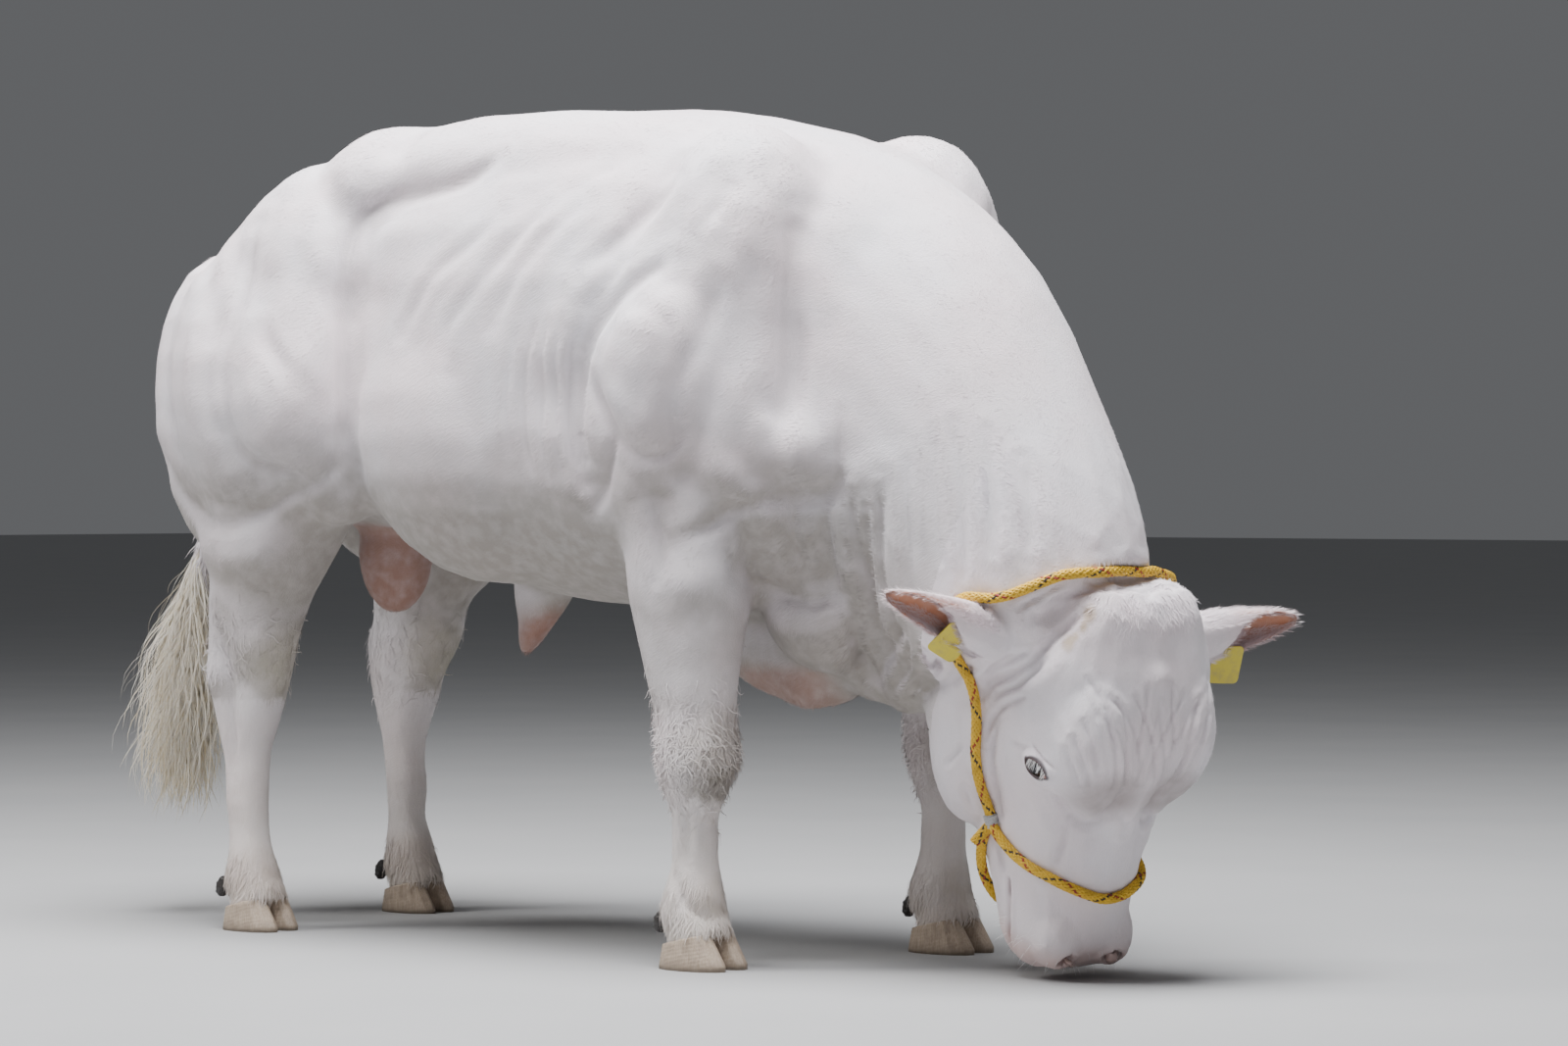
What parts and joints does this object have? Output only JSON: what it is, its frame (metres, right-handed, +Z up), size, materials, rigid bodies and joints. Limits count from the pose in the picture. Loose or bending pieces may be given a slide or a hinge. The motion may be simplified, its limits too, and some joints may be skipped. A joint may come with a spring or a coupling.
{
  "type": "grazing bull",
  "caption": "Life-size still model of a grazing Belgian Blue bull: white, double-muscled, head down at the floor, in a rope halter with blank ear tags.",
  "frame": {"origin": "middle of the base of the whole model's box, on the floor", "axes": "+X from the tail to the head, +Y to the animal's left, +Z up"},
  "size_m": [2.3398, 0.825, 1.4658],
  "materials": {
    "white_coat": "short white hair over pink skin",
    "pink_skin": "bare pink skin",
    "pale_horn": "worn pale horn",
    "dark_horn": "black horn",
    "eye": "wet and dark",
    "switch_hair": "long cream hair",
    "yellow_rope": "braided cord with dark flecks",
    "halter_clamp": "dull metal",
    "ear_tag": "satin, blank"
  },
  "bodies": {
    "root": {"claw_fore_left_inner": "pale_horn", "claw_fore_left_outer": "pale_horn", "claw_fore_right_inner": "pale_horn", "claw_fore_right_outer": "pale_horn", "claw_hind_left_inner": "pale_horn", "claw_hind_left_outer": "pale_horn", "claw_hind_right_inner": "pale_horn", "claw_hind_right_outer": "pale_horn", "dewclaw_fore_left_inner": "dark_horn", "dewclaw_fore_left_outer": "dark_horn", "dewclaw_fore_right_inner": "dark_horn", "dewclaw_fore_right_outer": "dark_horn", "dewclaw_hind_left_inner": "dark_horn", "dewclaw_hind_left_outer": "dark_horn", "dewclaw_hind_right_inner": "dark_horn", "dewclaw_hind_right_outer": "dark_horn", "ear_left": "white_coat", "ear_right": "white_coat", "ear_tag_left": "ear_tag", "ear_tag_right": "ear_tag", "eye_left": "eye", "eye_right": "eye", "foreleg_left_lower": "white_coat", "foreleg_left_upper": "white_coat", "foreleg_right_lower": "white_coat", "foreleg_right_upper": "white_coat", "halter_chin_rope": "yellow_rope", "halter_clamp_left": "halter_clamp", "halter_clamp_right": "halter_clamp", "halter_headstall": "yellow_rope", "halter_noseband": "yellow_rope", "halter_rope_end": "yellow_rope", "head": "white_coat", "hindleg_left_lower": "white_coat", "hindleg_left_upper": "white_coat", "hindleg_right_lower": "white_coat", "hindleg_right_upper": "white_coat", "neck": "white_coat", "scrotum": "pink_skin", "sheath": "pink_skin", "tail": "white_coat", "tail_switch": "switch_hair", "torso": "white_coat"}
  },
  "joints": []
}
